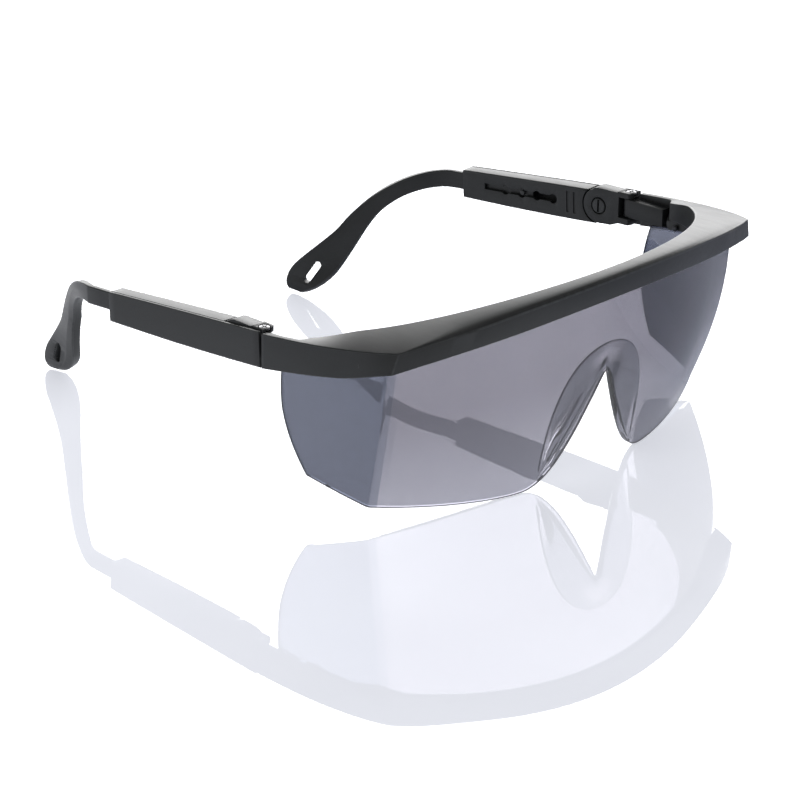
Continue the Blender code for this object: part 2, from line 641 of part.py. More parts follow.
def main():
    for old in list(bpy.data.objects):
        bpy.data.objects.remove(old)
    nylon = material("black_nylon", (0.022, 0.024, 0.024), 0.42)
    clear = material("smoke_polycarbonate", (0.18, 0.18, 0.21), 0.06, 0.0, 0.55)
    steel = material("dark_steel", (0.32, 0.32, 0.33), 0.32, 1.0)

    brow = build_brow()
    recentre(brow, (0, ORIGIN_Y, 0))
    finish(brow, "brow_frame", nylon)
    lens = build_lens()
    recentre(lens, (0, ORIGIN_Y, 0))
    finish(lens, "lens", clear)

    screw = (*screw_centre(), PIVOT[2])
    block = build_hinge_block()
    block.data.transform(Matrix.Translation(Vector((-SCREW_LOCAL[0], -SCREW_LOCAL[1], 0)) * MM))
    place(block, screw, CONVERGE)
    hinge_screw = build_hinge_screw()
    place(hinge_screw, screw, CONVERGE)
    pin = build_tilt_pin()
    place(pin, PIVOT, CONVERGE)
    casing = build_casing()
    place(casing, PIVOT, CONVERGE, SLOPE)
    tip = build_tip()
    place(tip, PIVOT, CONVERGE, SLOPE)
    stud = build_stud()
    recentre(stud, (outer_edges(stud_station())[0].x, STUD_Y, STUD_Z))
    pieces = (("hinge_block", block, nylon), ("hinge_screw", hinge_screw, steel),
              ("tilt_pin", pin, nylon), ("temple_casing", casing, nylon),
              ("temple_tip", tip, nylon), ("lens_stud", stud, steel))
    for name, made, mat in pieces:
        finish(made, name + "_R", mat)
        left = add_left(made, name + "_L")
        if made is tip:
            left.location += left.rotation_euler.to_matrix() @ Vector((0, LEFT_CLICK, 0)) * MM


main()
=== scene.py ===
"""Finished look of the safety glasses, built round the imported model.

The pieces are modelled in design millimetres and then put into the row frame, which is
in metres: +Z is up and the lens faces -Y. "R" in a name is the side at +X, which is on the
right of a viewer in front of the lens, and "L" is its mirror image.
"""
import json
import math

import bmesh
import bpy
from mathutils import Matrix, Vector


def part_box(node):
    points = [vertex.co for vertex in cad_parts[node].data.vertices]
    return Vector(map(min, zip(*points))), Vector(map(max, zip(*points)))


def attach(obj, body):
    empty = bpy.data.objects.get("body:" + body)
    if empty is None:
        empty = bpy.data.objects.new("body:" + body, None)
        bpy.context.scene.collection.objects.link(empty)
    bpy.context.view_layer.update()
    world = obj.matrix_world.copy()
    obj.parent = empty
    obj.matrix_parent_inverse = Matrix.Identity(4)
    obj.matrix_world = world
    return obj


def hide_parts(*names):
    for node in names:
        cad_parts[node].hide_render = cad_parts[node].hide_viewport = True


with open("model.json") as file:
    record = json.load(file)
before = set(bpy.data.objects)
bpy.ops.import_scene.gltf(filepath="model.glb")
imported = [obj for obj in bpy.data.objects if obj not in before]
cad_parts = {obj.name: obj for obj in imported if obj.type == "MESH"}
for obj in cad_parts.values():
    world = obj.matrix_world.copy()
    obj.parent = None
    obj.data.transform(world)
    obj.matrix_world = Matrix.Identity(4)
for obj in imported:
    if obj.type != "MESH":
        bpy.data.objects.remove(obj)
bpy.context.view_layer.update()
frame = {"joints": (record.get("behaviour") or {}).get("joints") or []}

MM = 0.001


def box_mm(node):
    return [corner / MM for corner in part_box(node)]


def joint(name):
    return next(j for j in frame["joints"] if j["name"] == name)


# ---------------------------------------------------------------- dimensions

ORIGIN_Y = 64.8            # design y that lies over the row frame's origin

# Brow frame. Its ledge lies on top, its wall hangs down in front of the lens.
BROW_LOW, BROW_HIGH = box_mm("brow_frame")
CORNER_X = 69.4            # half width of the front
BROW_TOP = (0.4, 16.7, 1.0, 49.3, 8.4)      # y at corner, bow, extra bow, z at corner, arch
BROW_BOTTOM = (2.9, 16.4, 2.0, 42.0, 8.9)   # the same for the lower edge of the wall
SEAM_X, SEAM_BOTTOM_Z = BROW_HIGH.x, BROW_LOW.z                     # rear end of the arm
SEAM_Y, SEAM_TOP_Z = 38.8, 46.0
ARM_FLARE = 3.4            # power of the arm's outward curve
LIP, CHANNEL, RAIL = 1.2, 3.9, 5.0          # depths behind the wall's outer face
ARM_WALL = 2.0             # thickness of the arm beside the hinge
CORNER_HIGH = Vector((0.3, -0.9, 0.2))      # how far the wall's face runs on at the corner,
CORNER_LOW = Vector((2.0, -2.7, 2.1))       # above and below
CORNER_REACH = (0.5, 0.35)                  # over what share of the front and of the arm
LEDGE = ((0.0, -11.8), (34.0, -11.8), (66.0, 8.0), (71.2, 27.0))    # rear edge, a Bezier in plan
LEDGE_CORNER = 0.7         # place of the corner along that edge
LEDGE_T = (2.0, 4.9)       # thickness in the middle and along the arm
LEDGE_STOP = (26.0, 2.6)   # y where the ledge starts to end, and over what length
LEDGE_SETTLE = (8.0, 20.0)                  # the same for its descent to the arm's top
RAIL_STOP = (25.0, 2.0)    # the same for the rail behind the lens
LEDGE_ROLL = (0.4, 6.0)    # how far the ledge rolls over to the wall, at the corner and inboard
WALL_ROLL = (0.35, 1.3)    # the same down the wall
SHELF_DROP = 2.0           # thickness of the ledge beside the hinge

# Lens, side shields and nose rest, one moulding
LENS_T = 1.8               # thickness
LENS_DEPTH = 1.6           # depth of the shield's outer face behind the arm's
LENS_TUCK, LENS_REAR_TUCK = 3.2, 0.9        # how far it reaches above the wall's lower edge
TUCK_STEP = (25.2, 2.6)    # y where the one gives way to the other, and over what length
ROOF_CLEAR = 1.1           # room above the lens
RIM_BEVEL = 0.25
LENS_ROWS = 30
FOLD_ROUND = 1.0           # the fold is rounded off from this far on either side
FOLD_TOP_X = 68.4          # x of the fold where it meets the brow wall
FOLD_LOW = (65.4, 4.2)     # x and z of its lower end
FOLD_SWELL = (1.5, 1.35)   # how far the fold swells outwards and forwards half way down
LENS_BOW = (4.1, 15.9, 2.1)                 # y at the fold, bow, extra bow
RAKE = (0.178, 0.039)      # slope of the lens in the middle, and what the fold adds
WALL_RAKE = (0.265, 0.075)                  # the same behind the brow wall
SHIELD_LOW = (69.9, 9.5)   # x and z of the shield's lower rear corner
SHIELD_LEAN = 0.15         # how much further out the rear edge stands per mm of height
SHIELD_BACK = (35.2, 0.0166, 29.0)          # rearmost y of the shield, its curvature, its height
SHIELD_TOP_Z = 37.6        # where the rear edge ends under the arm
SHIELD_SPAN = (1.012, 1.85)                 # the shield's share of outer_edges
GAP = ((1.0, 28.3), (7.5, 15.5), (14.0, 0.2), (24.0, 0.05))         # edge of the nose opening
GAP_TOP_Z = 28.6           # its height in the middle
REST_X, REST_RISE = 27.0, 4.2               # outboard of here the lower edge climbs by this much
NOSE_ARCH = ((0.0, 36.6), (14.0, 36.4), (18.6, 24.0), (18.2, 5.0))  # outer edge of the nose rest
NOSE_RIDGE = (2.6, 3.3, 1.9)                # depth of the rest at the bridge, pad and foot

# Hinge and temple. From SCREW_LOCAL on, lengths are measured from the tilt pivot.
PIVOT = Vector(joint("tilt_R")["pos_m"]) / MM
SCREW = Vector(joint("fold_R")["pos_m"]) / MM
CONVERGE = math.atan2(joint("tilt_R")["axis"][1], joint("tilt_R")["axis"][0])  # in plan
SLOPE = math.asin(joint("extend_R")["axis"][2])                                # downwards
LEFT_FURTHER = box_mm("temple_tip_L")[1].y - box_mm("temple_tip_R")[1].y
LEFT_CLICK = LEFT_FURTHER / joint("extend_L")["axis"][1]
BORE_R = 1.1               # screw hole
TONGUE_Z = (39.7, 44.7)    # the tongue, in design millimetres
TONGUE_ROOT_Y = 28.6
TONGUE_SIDE_Y = (36.5, 37.6)                # where its outer side steps in
TONGUE_SIDES = (1.9, 1.6)  # how far it reaches inwards and outwards from the screw
TONGUE_R = 1.75
SCREW_LOCAL = (-0.3, -8.8)                  # fold axis
BLOCK_IN, BLOCK_OUT = -2.9, 1.5             # inner and outer face of the fork
EAR_TOP = (3.85, 5.4)      # heights of the fork's two ears
EAR_LOW = (-3.6, -1.85)
EAR_FRONT = -10.2
WEB_Y = -6.5               # front of the solid between the ears and the knuckle
KNUCKLE_R = 4.9
HEAD_SEAT = (1.6, 1.05)    # radius and depth of the seat of the screw's head
BOSS_R = 2.0
PIN_SEAT = (2.4, 1.1)      # radius and depth of the seat of the tilt pin's head
CLEAR = 0.4                # room round the knuckle, and above and below the bar
CASING_OUT = 2.8
CASING_IN_END = -2.2       # inner face at the rear end; at the hinge it is the fork's
CASING_TOP = (4.4, 3.1)    # heights at the front and at the rear end
CASING_LOW = (-5.0, -4.8)
CASING_SWELL = 0.35        # how far the underside bulges half way along
CASING_END = 46.0
CASING_STRAIGHT = 6.0      # the inner face runs straight up to here
PLATE_IN = 1.8             # inner face of the wall that covers the fork
GROOVES = (7.6, 9.9)       # y of the two upright grooves in the inner face
GROOVE_SIZE = (0.8, 0.35, -3.4, 2.6)        # width, depth, lower and upper end
BAR_X = (-1.3, 0.5)        # section of the sliding bar
BAR_Z = (-2.9, 1.9)
BAR_CLEAR = 0.3
BAR_ROOM_Y = 9.0           # front end of the room for the bar
CHANNEL_X = -1.0           # how deep the slot and the detents go
DETENTS = (15.2, 20.7, 25.8, 31.4)          # y of the holes the peg clicks into
DETENT_Z = -0.4
DETENT_R = 1.35
SLOT_HALF = 0.85           # half width of the slot that joins the detents
SLOT_END = 38.5
PEG_Y, PEG_R = DETENTS[2], 0.75
STUD_Y, STUD_Z = 23.5, 40.9                 # in design millimetres again, as is the next
PIP_Y, PIP_Z = 9.5, 44.8   # small moulding mark on the arm

# Ear piece: its rear and its front edge are each a bend and then a drop
TIP_STRAIGHT = 51.2        # y where the bends start
TIP_REAR_BEND = ((-2.6, 58.5, 2.1), (-10.5, 69.9, -1.4), (-15.4, 79.7, -15.1))
TIP_REAR_DROP = ((-18.2, 84.0, -19.8), (-20.2, 90.5, -24.0), (-20.6, 98.9, -33.6))
TIP_FRONT_BEND = ((-2.2, 56.4, -2.7), (-7.5, 66.1, -4.2), (-12.2, 71.7, -14.1))
TIP_FRONT_DROP = ((-13.6, 75.0, -19.2), (-16.2, 78.0, -26.5), (-22.0, 84.3, -35.0))
TIP_HALF_T = 1.5
TIP_BAND = 2.8             # bevelled band along the ear piece's front edge
TIP_END = 12               # sections over which the end is rounded
SLOT_TOP, SLOT_FOOT = (-18.2, 84.8, -25.4), (-20.0, 88.8, -31.4)    # slot for a cord
SLOT_R = 0.95

# Camera and backdrop, in metres and degrees
AIM = (-0.01616, -0.01976, 0.01001)
CAMERA_AZIMUTH, CAMERA_ELEVATION, CAMERA_ROLL = 49.23, 21.51, 1.27
CAMERA_DISTANCE = 1.0894
CAMERA_LENS = 189.4        # millimetres
BACKDROP_AWAY, BACKDROP_HEIGHT, BACKDROP_AIM = 2.0, 0.58, 0.2
BACKDROP_SIZE = (2.2, 1.16)
BACKDROP_RADIANCE = 3.8

CIRCLE = 48                # sides of a full circle
SHARP_ANGLE = 32           # degrees


# ---------------------------------------------------------------- curves and meshes

def lerp(a, b, t):
    return a + (b - a) * t


def smooth(t):
    t = min(1.0, max(0.0, t))
    return t * t * (3 - 2 * t)


def bezier(points, t):
    """Point of a cubic Bezier curve given by four tuples of any size."""
    k = ((1 - t) ** 3, 3 * t * (1 - t) ** 2, 3 * t * t * (1 - t), t ** 3)
    return tuple(sum(w * p[i] for w, p in zip(k, points)) for i in range(len(points[0])))


def bend(first, corner, last, t):
    """Point of the curve that rounds off a corner."""
    return first * (1 - t) ** 2 + corner * 2 * t * (1 - t) + last * t * t


def rounded(corners, steps=4):
    """Closed section from (point, reach before, reach after), with each corner rounded off."""
    section = []
    for i, (p, before, after) in enumerate(corners):
        back, ahead = corners[i - 1][0] - p, corners[(i + 1) % len(corners)][0] - p
        first = p + back.normalized() * min(before, 0.48 * back.length)
        last = p + ahead.normalized() * min(after, 0.48 * ahead.length)
        section += [bend(first, p, last, k / steps) for k in range(steps + 1)]
    return section


def mesh_object(name, verts, faces):
    mesh = bpy.data.meshes.new(name)
    mesh.from_pydata([Vector(v) for v in verts], [], faces)
    bm = bmesh.new()
    bm.from_mesh(mesh)
    bmesh.ops.recalc_face_normals(bm, faces=bm.faces)
    bm.to_mesh(mesh)
    bm.free()
    made = bpy.data.objects.new(name, mesh)
    bpy.context.collection.objects.link(made)
    return made


def loft(name, sections):
    """Closed body through equal-sized closed sections, with flat ends."""
    n = len(sections[0])
    verts = [p for section in sections for p in section]
    faces = []
    for row in range(len(sections) - 1):
        a, b = row * n, (row + 1) * n
        for i in range(n):
            j = (i + 1) % n
            faces.append((a + i, a + j, b + j, b + i))
    faces.append(tuple(range(n)))
    faces.append(tuple(range(len(verts) - n, len(verts))))
    return mesh_object(name, verts, faces)


def prism(name, outline, axis, low, high):
    """Body between two heights along x or z, from its outline in the other two directions."""
    def place(p, h):
        return {"x": (h, *p), "z": (*p, h)}[axis]
    return loft(name, [[place(p, low) for p in outline], [place(p, high) for p in outline]])


def box(name, x, y, z):
    return prism(name, [(x[0], y[0]), (x[1], y[0]), (x[1], y[1]), (x[0], y[1])], "z", *z)


def arc(cx, cy, r, start, end, count):
    angles = [math.radians(lerp(start, end, i / count)) for i in range(count + 1)]
    return [(cx + r * math.cos(a), cy + r * math.sin(a)) for a in angles]


def cylinder(name, axis, centre, r, low, high):
    return prism(name, arc(*centre, r, 0, 360, CIRCLE)[:-1], axis, low, high)


def turned(name, axis, centre, profile, count=CIRCLE):
    """Turned body from (radius, height) pairs, its ends flat."""
    def ring(r, h):
        outline = arc(*centre, r, 0, 360, count)[:-1]
        return [{"x": (h, *p), "z": (*p, h)}[axis] for p in outline]
    return loft(name, [ring(r, h) for r, h in profile])


def apply_modifiers(made):
    bpy.context.view_layer.update()
    depsgraph = bpy.context.evaluated_depsgraph_get()
    mesh = bpy.data.meshes.new_from_object(made.evaluated_get(depsgraph))
    made.modifiers.clear()
    made.data = mesh


def combine(target, tool, operation):
    modifier = target.modifiers.new(operation, "BOOLEAN")
    modifier.operation = operation
    modifier.solver = "EXACT"
    modifier.object = tool
    apply_modifiers(target)
    bpy.data.objects.remove(tool)


def cut(target, tool):
    combine(target, tool, "DIFFERENCE")


def join(target, tool):
    combine(target, tool, "UNION")


def soften(made, width, segments=2, angle=35):
    """Round off the sharp edges."""
    modifier = made.modifiers.new("soften", "BEVEL")
    modifier.width = width
    modifier.segments = segments
    modifier.limit_method = "ANGLE"
    modifier.angle_limit = math.radians(angle)
    modifier.use_clamp_overlap = False
    apply_modifiers(made)


def mark_worn(mesh):
    """Give each face the share of handling wear that its curvature attracts."""
    bm = bmesh.new()
    bm.from_mesh(mesh)
    values = []
    for face in bm.faces:
        bent = sum(e.calc_face_angle_signed(0) * e.calc_length() for e in face.edges)
        per_mm = bent / max(face.calc_area(), 1e-12) * MM
        values.append(smooth((per_mm - 0.6) / 1.6))
    bm.free()
    attribute = mesh.attributes.new("worn", "FLOAT", "FACE")
    attribute.data.foreach_set("value", values)


FRONT = Matrix.Scale(MM, 4) @ Matrix.Translation((0, -ORIGIN_Y, 0))
HINGE = Matrix.Scale(MM, 4) @ Matrix.Translation(PIVOT) @ Matrix.Rotation(CONVERGE, 4, "Z")
TEMPLE = HINGE @ Matrix.Rotation(SLOPE, 4, "X")
MIRROR = Matrix.Scale(-1, 4, (1, 0, 0))


def finish(made, name, body, place, mat, slot, node=None):
    """Put a finished piece into the row frame, on its body, with its material."""
    made.name = name
    made.data.name = name
    made.data.transform(place)
    mark_worn(made.data)
    made.data.materials.clear()
    made.data.materials.append(mat)
    made.data.shade_smooth()
    made.data.set_sharp_from_angle(angle=math.radians(SHARP_ANGLE))
    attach(made, body)
    if node:
        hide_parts(node)


def finish_pair(made, name, body, place, mat, slot, node=None, left_shift=(0, 0, 0)):
    """The same for a right-hand piece and its mirror image."""
    mesh = made.data.copy()
    mesh.transform(place)
    mesh.transform(MIRROR)
    mesh.flip_normals()
    mesh.transform(Matrix.Translation(left_shift))
    left = bpy.data.objects.new(name, mesh)
    bpy.context.collection.objects.link(left)
    body_l, body_r = (body, body) if body == "front" else (body + "_L", body + "_R")
    node_l, node_r = (node + "_L", node + "_R") if node else (None, None)
    finish(left, name + "_L", body_l, Matrix.Identity(4), mat, slot, node_l)
    finish(made, name + "_R", body_r, place, mat, slot, node_r)


# ---------------------------------------------------------------- brow frame

def brow_edge(edge, u):
    y0, bow, extra, z0, arch = edge
    y = y0 - bow * (1 - u * u) - extra * (1 - u ** 4)
    return Vector((CORNER_X * u, y, z0 + arch * (1 - u * u)))


def arm_edge(start, end_x, end_z, v):
    x0, y0, z0 = start
    x = end_x - (end_x - x0) * (1 - v) ** ARM_FLARE
    return Vector((x, lerp(y0, SEAM_Y, v), lerp(z0, end_z, v)))


def outer_edges(s):
    """Top and bottom outer points: s 0 to 1 is the front, 1 to 2 the arm."""
    if s <= 1:
        return brow_edge(BROW_TOP, s), brow_edge(BROW_BOTTOM, s)
    top0, low0 = outer_edges(1)
    v = s - 1
    return arm_edge(top0, SEAM_X, SEAM_TOP_Z, v), arm_edge(low0, SEAM_X - 0.2, SEAM_BOTTOM_Z, v)


def inward(s):
    """Horizontal normal of the lower edge, mitred at the corner."""
    def side(a, b):
        run = outer_edges(b)[1] - outer_edges(a)[1]
        return Vector((-run.y, run.x, 0)).normalized()
    step = 0.004
    if abs(s - 1) > step:
        return side(s - step, s + step) if s < 2 - step else side(s - 2 * step, s)
    a, b = side(1 - 2 * step, 1), side(1, 1 + 2 * step)
    mid = (a + b).normalized()
    return mid / mid.dot(a)


def wall_point(s, z, depth):
    """Point at a height of the brow wall, a given depth behind its outer face."""
    top, low = outer_edges(s)
    return low.lerp(top, (z - low.z) / (top.z - low.z)) + inward(s) * depth


def roof_height(x):
    """Height of the ledge, which keeps the front's arch all the way back."""
    return BROW_TOP[3] + BROW_TOP[4] * (1 - (x / CORNER_X) ** 2)


def tuck(y):
    """How far the lens reaches above the wall's lower edge at a place along the arm."""
    return lerp(LENS_TUCK, LENS_REAR_TUCK, smooth((y - TUCK_STEP[0]) / TUCK_STEP[1]))


def brow_section(s):
    top, low = outer_edges(s)
    normal = inward(s)
    if s <= 1:
        t = LEDGE_CORNER * s
    else:
        t = lerp(LEDGE_CORNER, 1.0, min(1.0, (top.y - BROW_TOP[0]) / (LEDGE[3][1] - BROW_TOP[0])))
    hinge = smooth((top.y - LEDGE_STOP[0]) / LEDGE_STOP[1]) if s > 1 else 0.0
    lift = smooth((top.y - RAIL_STOP[0]) / RAIL_STOP[1]) if s > 1 else 0.0
    settle = smooth((top.y - LEDGE_SETTLE[0]) / LEDGE_SETTLE[1]) if s > 1 else 0.0
    x, y = bezier(LEDGE, t)
    rear = Vector((x, y, lerp(roof_height(x), top.z, settle))).lerp(top + normal * ARM_WALL, hinge)
    drop = lerp(*LEDGE_T, smooth((s - 0.7) / 0.4))
    roof = low.z + (tuck(low.y) if s > 1 else LENS_TUCK) + ROOF_CLEAR
    shelf_z = lerp(top.z - drop, top.z - SHELF_DROP, hinge)
    rail_back = lerp(RAIL, ARM_WALL, hinge)
    rail_front = lerp(CHANNEL, ARM_WALL - 0.05, hinge)
    rail_low = lerp(low.z + 1.0, roof + 0.6, lift)

    def at(z, depth):
        return wall_point(s, z, depth)
    spread = smooth(1 - abs(s - 1) / CORNER_REACH[s > 1])
    low_out = CORNER_LOW * spread
    roll = smooth((1 - s) / 0.35)
    fine = 0.12
    return rounded([
        (top + CORNER_HIGH * spread, lerp(*WALL_ROLL, roll), lerp(*LEDGE_ROLL, roll)),
        (rear, 0.5, 0.4), (Vector((rear.x, rear.y, shelf_z)), 0.4, 0.4),
        (at(lerp(shelf_z, shelf_z - 1.5, hinge), rail_back), 0.4, fine),
        (at(rail_low, rail_back), fine, fine),
        (at(lerp(rail_low, rail_low - 0.2, hinge), rail_front), fine, fine),
        (at(lerp(roof, roof + 0.05, hinge), rail_front - 0.02), fine, fine),
        (at(roof, LIP), fine, fine), (at(low.z, LIP) + low_out, fine, 0.15), (low + low_out, 0.25, 0.3),
    ])


def build_brow():
    front = [brow_section(i / 48) for i in range(48)]
    before, corner, after = brow_section(0.996), brow_section(1.0), brow_section(1.006)
    turn = [[bend(a, b, c, k / 4) for a, b, c in zip(before, corner, after)] for k in range(5)]
    arm = [brow_section(1.03 + 0.97 * i / 56) for i in range(57)]
    half = front + turn + arm
    mirrored = [[Vector((-p.x, p.y, p.z)) for p in section] for section in half[:0:-1]]
    return loft("brow", mirrored + half)


def build_tongue():
    """Flat tongue behind the arm that the hinge fork closes over."""
    x, y = SCREW.x, SCREW.y + ORIGIN_Y
    x_in, x_out = x - TONGUE_SIDES[0], x + TONGUE_SIDES[1]
    outline = [(x_out + 1.0, TONGUE_ROOT_Y), (x_out + 1.0, TONGUE_SIDE_Y[0]), (x_out, TONGUE_SIDE_Y[1])]
    outline += arc((x_in + x_out) / 2, y, TONGUE_R, 0, 180, 24)
    outline += [(x_in, TONGUE_ROOT_Y)]
    tongue = prism("tongue", outline, "z", *TONGUE_Z)
    cut(tongue, cylinder("bore", "z", (x, y), BORE_R, 35, 50))
    soften(tongue, 0.2)
    return tongue


def arm_face(y, z):
    """How far out the arm's outer face stands at a place on it."""
    s = 1.0
    while wall_point(s, z, 0).y < y:
        s += 0.005
    return wall_point(s, z, 0).x


# ---------------------------------------------------------------- lens

def fold_x(z):
    return lerp(FOLD_LOW[0], FOLD_TOP_X, (z - FOLD_LOW[1]) / (BROW_BOTTOM[3] - FOLD_LOW[1]))


def lens_front(s, z):
    """Outer face of the lens in front: s 0 is the middle and 1 the fold."""
    base_z = BROW_BOTTOM[3] + BROW_BOTTOM[4] * (1 - s * s)
    y0, bow, extra = LENS_BOW
    r = min(1.0, max(0.0, (z - FOLD_LOW[1]) / (base_z - FOLD_LOW[1])))
    swell = 4 * r * (1 - r) * s * s
    y = y0 - bow * (1 - s * s) - extra * (1 - s ** 4) - FOLD_SWELL[1] * swell
    slope = RAKE if z < base_z else WALL_RAKE
    x = s * fold_x(z) + FOLD_SWELL[0] * swell
    return Vector((x, y + (slope[0] + slope[1] * s * s) * (base_z - z), z))


def lower_edge(x):
    """Height of the lens's lower edge outboard of the nose opening."""
    return REST_RISE * (max(0.0, x - REST_X) / (FOLD_LOW[0] - REST_X)) ** 1.5


def lens_columns():
    """Outer points of the front, from the middle to the fold, each column from the bottom up."""
    lows = [(0.0, GAP_TOP_Z)] + [bezier(GAP, i / 40) for i in range(41)]
    lows += [(x, lower_edge(x)) for x in [lerp(24.0, 64.8, i / 24) for i in range(1, 25)]]
    lows += [FOLD_LOW]
    columns = []
    for x, z in lows:
        s = x / fold_x(z)
        base = BROW_BOTTOM[3] + BROW_BOTTOM[4] * (1 - s * s)
        heights = [lerp(z, base, i / LENS_ROWS) for i in range(LENS_ROWS + 1)]
        heights += [base + LENS_TUCK * 0.5, base + LENS_TUCK]
        columns.append([lens_front(s, h) for h in heights])
    return columns


def shield_columns():
    """Side shield, ruled from the fold back to its rounded rear edge."""
    rear_y, sag, mid_z = SHIELD_BACK
    end = rear_y - sag * (SHIELD_TOP_Z - mid_z) ** 2
    start = lens_front(1, BROW_BOTTOM[3])
    last = (end - BROW_BOTTOM[0]) / (SEAM_Y - BROW_BOTTOM[0]) + 1
    stations = [min(last, lerp(*SHIELD_SPAN, i / 32)) for i in range(33)]
    stations = [s for s in stations if s < last] + [last]
    top = [wall_point(s, outer_edges(s)[1].z, LENS_DEPTH) for s in stations]
    run = top[-1] - start
    columns = []
    for s, head in zip(stations, top):
        k = (head.y - start.y) / run.y
        bulge = head - start - run * k
        points = []
        for i in range(LENS_ROWS + 1):
            r = i / LENS_ROWS
            fold = lens_front(1, lerp(FOLD_LOW[1], BROW_BOTTOM[3], r))
            z = lerp(SHIELD_LOW[1], SHIELD_TOP_Z, r)
            back = Vector((SHIELD_LOW[0] + SHIELD_LEAN * (z - SHIELD_LOW[1]),
                           rear_y - sag * (z - mid_z) ** 2, z))
            back = back.lerp(top[-1], smooth((r - 0.6) / 0.4))
            points.append(fold.lerp(back, k) + bulge * lerp(0.15, 1.0, r * r))
        low_z, height = outer_edges(s)[1].z, tuck(head.y)
        points += [wall_point(s, low_z + height * f, LENS_DEPTH) for f in (0.5, 1.0)]
        columns.append(points)
    return columns


def build_lens():
    front, side = lens_columns(), shield_columns()
    fold = front.pop()

    def clear_of_fold(column):
        return min((a - b).length for a, b in zip(column, fold)) > FOLD_ROUND * 1.2

    def towards(column):
        return [b + (a - b).normalized() * FOLD_ROUND for a, b in zip(column, fold)]
    front, side = list(filter(clear_of_fold, front)), list(filter(clear_of_fold, side))
    ends = towards(front[-1]), fold, towards(side[0])
    turn = [[bend(a, b, c, k / 6) for a, b, c in zip(*ends)] for k in range(7)]
    half = front + turn + side
    columns = [[Vector((-p.x, p.y, p.z)) for p in c] for c in half[:0:-1]] + half
    lens = sheet("lens", columns, LENS_T)
    join(lens, build_nose_rest())
    mark_tint(lens.data)
    return lens


def mark_tint(mesh):
    """Give each face its share of the side shields' tint, and of the thick nose rest's."""
    side, thick = [], []
    for face in mesh.polygons:
        x, y, z = face.center
        side.append(smooth((y - lens_front(1, z).y + 0.1) / 0.4))
        behind = y - lens_front(abs(x) / fold_x(z), z).y if abs(x) < REST_X else 0.0
        thick.append(smooth((behind - LENS_T * 1.2) / 0.4))
    for name, values in (("side", side), ("thick", thick)):
        mesh.attributes.new(name, "FLOAT", "FACE").data.foreach_set("value", values)


def sheet(name, columns, thickness):
    """Closed sheet from a grid of outer points, thickened inwards, its rim bevelled."""
    count, rows = len(columns), len(columns[0])
    edge_c, edge_r = (0, count - 1), (0, rows - 1)

    def inner_way(c, r):
        along = columns[min(c + 1, count - 1)][r] - columns[max(c - 1, 0)][r]
        up = columns[c][min(r + 1, rows - 1)] - columns[c][max(r - 1, 0)]
        return up.cross(along).normalized()

    def inset(c, r):
        """Step from a rim point towards the middle of the sheet."""
        step = Vector()
        if c in edge_c:
            step += (columns[1 if c == 0 else c - 1][r] - columns[c][r]).normalized()
        if r in edge_r:
            step += (columns[c][1 if r == 0 else r - 1] - columns[c][r]).normalized()
        return step * RIM_BEVEL
    ways = [[inner_way(c, r) for r in range(rows)] for c in range(count)]
    layers = []
    for depth, inwards in ((0, 1), (RIM_BEVEL, 0), (thickness - RIM_BEVEL, 0), (thickness, 1)):
        layers.append([columns[c][r] + ways[c][r] * depth + inset(c, r) * inwards
                       for c in range(count) for r in range(rows)])
    outer, inner = layers[0], layers[3]
    total = len(outer)
    faces = []
    for c in range(count - 1):
        for r in range(rows - 1):
            a = c * rows + r
            quad = (a, a + rows, a + rows + 1, a + 1)
            faces.append(quad)
            faces.append(tuple(total + i for i in reversed(quad)))
    rim = [c * rows for c in range(count)] + [(count - 1) * rows + r for r in range(1, rows)]
    rim += [c * rows + rows - 1 for c in range(count - 2, -1, -1)] + list(range(rows - 2, 0, -1))
    verts = outer + inner + [layers[1][i] for i in rim] + [layers[2][i] for i in rim]
    n = len(rim)
    for k in range(n):
        j = (k + 1) % n
        a, b = 2 * total + k, 2 * total + j
        faces.append((rim[k], rim[j], b, a))
        faces.append((a, b, b + n, a + n))
        faces.append((a + n, b + n, rim[j] + total, rim[k] + total))
    return mesh_object(name, verts, faces)


def build_nose_rest():
    """Moulded rim behind the lens, from the nose opening out to its arch."""
    rear = Vector((0, 0.98, 0.19))
    bridge, pad, foot = NOSE_RIDGE

    def section(v):
        gx, gz = bezier(GAP, 0.02 + 0.78 * v) if v > 0 else (0.0, 28.5)
        ax, az = bezier(NOSE_ARCH, v)
        depth = lerp(lerp(bridge, pad, smooth(v / 0.35)), foot, smooth((v - 0.6) / 0.4))

        def at(k, d):
            x, z = lerp(gx, ax, k), lerp(gz, az, k)
            return lens_front(x / fold_x(z), z) + rear * d
        return rounded([
            (at(0.02, 0.5), 0.3, 0.3), (at(0.06, depth * 0.6), 0.8, 0.8), (at(0.14, depth), 0.5, 0.5),
            (at(0.3, depth * 0.94), 0.8, 0.8), (at(0.62, depth * 0.8), 2.0, 2.0),
            (at(0.97, 2.5), 0.6, 0.2), (at(0.97, 0.7), 0.3, 0.3),
        ])
    half = [section(i / 56) for i in range(57)]
    mirrored = [[Vector((-p.x, p.y, p.z)) for p in s] for s in half[:0:-1]]
    return loft("nose_rest", mirrored + half)


def build_stud():
    """Peg with a domed head that pins the side shield in the arm."""
    face = arm_face(STUD_Y, STUD_Z)
    dome = [(0.02, -6.0), (0.45, -5.96), (0.72, -5.85), (0.85, -5.7), (0.85, -5.5), (0.78, -5.4)]
    profile = [(r, face + h) for r, h in dome + [(0.55, -5.4), (0.55, -1.1)]]
    return turned("stud", "x", (STUD_Y, STUD_Z), profile)


